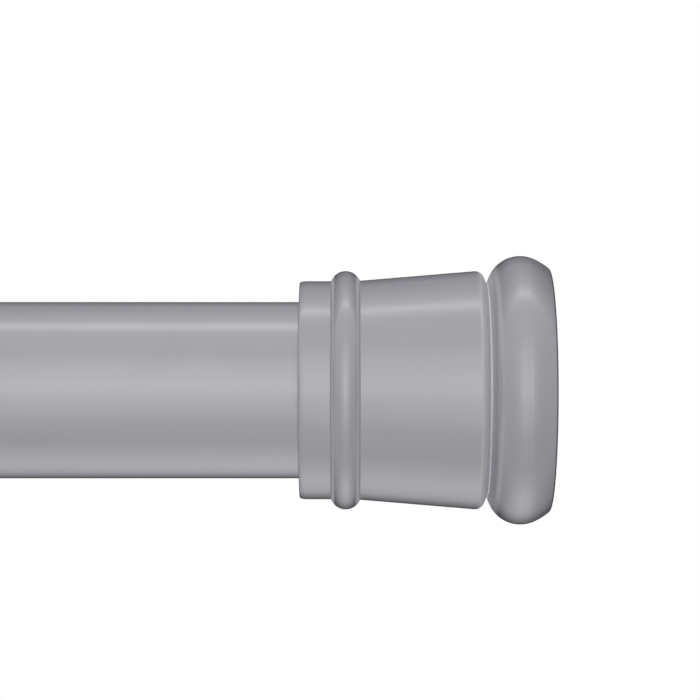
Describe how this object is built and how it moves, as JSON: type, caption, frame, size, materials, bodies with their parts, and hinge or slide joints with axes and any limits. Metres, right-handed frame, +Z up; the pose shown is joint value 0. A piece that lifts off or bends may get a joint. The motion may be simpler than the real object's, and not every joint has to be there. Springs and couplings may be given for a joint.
{
  "type": "shower curtain rod",
  "caption": "Telescoping spring-held shower curtain rod in satin nickel, with turned-look end caps, rubber wall pads and a twist lock inside.",
  "frame": {"origin": "middle of the wall pad's face at the right end, on the rod's axis", "axes": "+X along the rod out of that end into the wall, +Z up as the rod hangs level between two walls"},
  "size_m": [1.092, 0.0386, 0.0386],
  "materials": {
    "nickel_tube": "satin nickel plate on drawn steel tube",
    "nickel_cap": "satin nickel plate on moulding",
    "rubber_pad": "matt grey rubber",
    "rubber_ring": "black rubber",
    "moulded_plug": "black moulded plastic",
    "trim_plastic": "grey moulded plastic",
    "moulded_lock": "natural nylon",
    "moulded_cone": "black nylon",
    "zinc_steel": "bright zinc",
    "aluminium_rivet": "plain",
    "spring_steel": "oiled spring wire"
  },
  "bodies": {
    "outer": {"outer_tube": "nickel_tube", "end_cap": "nickel_cap", "wall_pad": "rubber_pad", "end_plug": "moulded_plug", "cap_screw": "zinc_steel", "cap_washer": "zinc_steel", "tube_trim_ring": "trim_plastic"},
    "lock": {"lock_sleeve": "moulded_lock", "drag_ring": "rubber_ring", "thrust_washer": "zinc_steel"},
    "cone": {"cone_nut": "moulded_cone"},
    "plunger": {"plunger_rod": "zinc_steel", "stop_nut": "zinc_steel", "plunger_head": "moulded_lock", "plunger_screw": "zinc_steel"},
    "inner": {"inner_tube": "nickel_tube", "inner_bushing": "moulded_lock", "bushing_rivets": "aluminium_rivet", "spring_seat": "moulded_lock", "seat_rivets": "aluminium_rivet", "tension_spring": "spring_steel", "end_cap_far": "nickel_cap", "wall_pad_far": "rubber_pad", "end_plug_far": "moulded_plug", "cap_screw_far": "zinc_steel", "cap_washer_far": "zinc_steel"}
  },
  "joints": [
    {"name": "telescope", "type": "slide", "parent": "outer", "child": "lock", "axis": [-1, 0, 0], "range_m": [0, 0.762]},
    {"name": "twist", "type": "hinge", "parent": "lock", "child": "plunger", "pos_m": [-0.06, 0, 0], "axis": [-1, 0, 0], "range_deg": [0, 720]},
    {"name": "spring_travel", "type": "slide", "parent": "plunger", "child": "inner", "axis": [1, 0, 0], "range_m": [0, 0.03], "stiffness_N_per_m": 2100, "springref_m": -0.01, "deforming": ["tension_spring"]},
    {"name": "cone_travel", "type": "slide", "parent": "lock", "child": "cone", "axis": [1, 0, 0], "range_m": [0, 0.0025]}
  ],
  "couplings": [
    {"joint": "cone_travel", "follows": "twist", "m_per_rad": 0.00019894}
  ]
}
